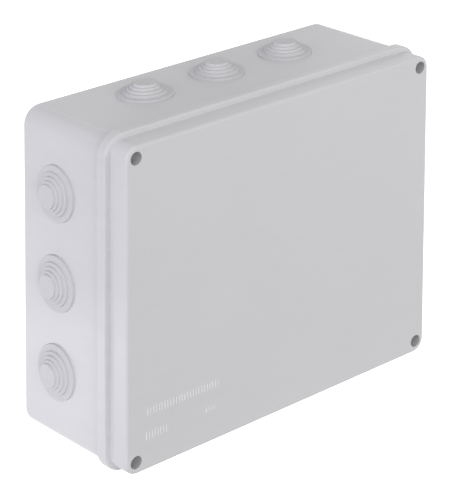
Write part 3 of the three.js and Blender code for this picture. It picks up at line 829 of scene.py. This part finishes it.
left = math_node(nt, "MULTIPLY", left, remap(nt, sep.outputs[1], -0.16, -0.12, 0.0, 1.0))
nt.links.new(by_ray(nt, FLOOR_SEEN, mirror.outputs[0], math_node(nt, "ADD", left, remap(nt, sep.outputs[1], -0.14, -0.08, FRONT_FILL, FLOOR_FILL))), emi.inputs["Strength"])
lp = nt.nodes.new("ShaderNodeLightPath")
only = nt.nodes.new("ShaderNodeMixShader")
black = nt.nodes.new("ShaderNodeEmission")
black.inputs["Strength"].default_value = 0.0
nt.links.new(lp.outputs["Is Camera Ray"], only.inputs[0])
nt.links.new(black.outputs[0], only.inputs[1])
nt.links.new(dif.outputs[0], only.inputs[2])
add = nt.nodes.new("ShaderNodeAddShader")
nt.links.new(only.outputs[0], add.inputs[0])
nt.links.new(emi.outputs[0], add.inputs[1])
nt.links.new(add.outputs[0], out.inputs["Surface"])
floor.data.materials.append(fm)

# a white room for the camera, an even dim one for the object
world = bpy.data.worlds.new("studio")
world.use_nodes = True
scene.world = world
wt = world.node_tree
wt.nodes.clear()
wo = wt.nodes.new("ShaderNodeOutputWorld")
bg = wt.nodes.new("ShaderNodeBackground")
sky = wt.nodes.new("ShaderNodeTexCoord")
way = wt.nodes.new("ShaderNodeSeparateXYZ")
wt.links.new(sky.outputs["Generated"], way.inputs[0])
bearing = math_node(wt, "ARCTAN2", way.outputs[0], way.outputs[1])
panes = math_node(wt, "ADD", remap(wt, bearing, math.radians(35.0), math.radians(38.3), 0.50, 0.0), remap(wt, bearing, math.radians(41.0), math.radians(43.5), 0.0, 0.62))
panes = math_node(wt, "MULTIPLY", panes, remap(wt, math_node(wt, "ABSOLUTE", math_node(wt, "SUBTRACT", bearing, math.radians(40.0))), math.radians(12), math.radians(20), 1.0, 0.0))
wt.links.new(by_ray(wt, 1.6, math_node(wt, "ADD", GLOSS_SKY, panes), AMBIENT), bg.inputs["Strength"])
wt.links.new(bg.outputs[0], wo.inputs["Surface"])


def lamp(name, towards, reach, spread, colour=(1, 1, 1)):
    """Very large soft light in the direction towards; reach is the light it lays on a face that looks straight at it."""
    light = bpy.data.lights.new(name, "SUN")
    light.energy = reach * math.pi
    light.angle = math.radians(spread)
    light.color = colour
    o = bpy.data.objects.new(name, light)
    scene.collection.objects.link(o)
    t = Vector(towards).normalized()
    o.location = t * 2.0
    o.rotation_mode = "QUATERNION"
    o.rotation_quaternion = t.to_track_quat("Z", "Y")
    o.visible_glossy = False      # the mirrored light is set by the floor and the room alone
    return o


lamp("key", (-0.391, -0.878, 0.16), 0.425, 40)
lamp("front_right", (0.42, -0.78, 0.55), 0.103, 30)
lamp("side", (-1.0, 0.15, 0.09), 0.283, 40, (1.0, 0.965, 1.14))
lamp("right_table", (1.0, 0.2, -0.35), 0.235, 28)
lamp("back_table", (0.0, 1.0, -0.35), 0.23, 28)
floor.visible_shadow = False      # the side and table lamps are light thrown back by the table, so the table must not stop them

scene.view_settings.view_transform = "Standard"
scene.view_settings.look = "None"

# the camera of the photograph: long lens, with the sensor shifted so that uprights stay nearly upright
CAM = dict(f=2445.69, az=-49.5939, el=8.6296, roll=1.7416, dist=2157.90, tx=453.41, tz=426.51, cx=631.177, cy=-371.263)
W, H = 449, 500
a, e, r = (math.radians(CAM[k]) for k in ("az", "el", "roll"))
back = Vector((math.sin(a) * math.cos(e), -math.cos(a) * math.cos(e), math.sin(e)))
fwd = -back
right = fwd.cross(Vector((0, 0, 1))).normalized()
up = right.cross(fwd)
right2 = math.cos(r) * right + math.sin(r) * up
up2 = -math.sin(r) * right + math.cos(r) * up
cam_data = bpy.data.cameras.new("camera")
cam = bpy.data.objects.new("camera", cam_data)
scene.collection.objects.link(cam)
place_m = Matrix((right2, up2, back)).transposed().to_4x4()
place_m.translation = (Vector((CAM["tx"], -60.0, CAM["tz"])) + back * CAM["dist"]) * MM
cam.matrix_world = place_m
cam_data.sensor_width = 36.0
cam_data.lens = CAM["f"] * 36.0 / max(W, H)
cam_data.clip_start, cam_data.clip_end = 0.01, 200.0
# the shift belongs to this one standpoint, so it is let go when the camera is carried elsewhere
for prop, value in (("shift_x", (W / 2 - CAM["cx"]) / max(W, H)), ("shift_y", (CAM["cy"] - H / 2) / max(W, H))):
    setattr(cam_data, prop, value)
    drv = cam_data.driver_add(prop).driver
    drv.type = "SCRIPTED"
    v = drv.variables.new()
    v.name = "px"
    v.type = "TRANSFORMS"
    v.targets[0].id = cam
    v.targets[0].transform_type = "LOC_X"
    v.targets[0].transform_space = "WORLD_SPACE"
    drv.expression = f"{value:.6f} if abs(px - {place_m.translation.x:.6f}) < 0.001 else 0.0"
scene.camera = cam
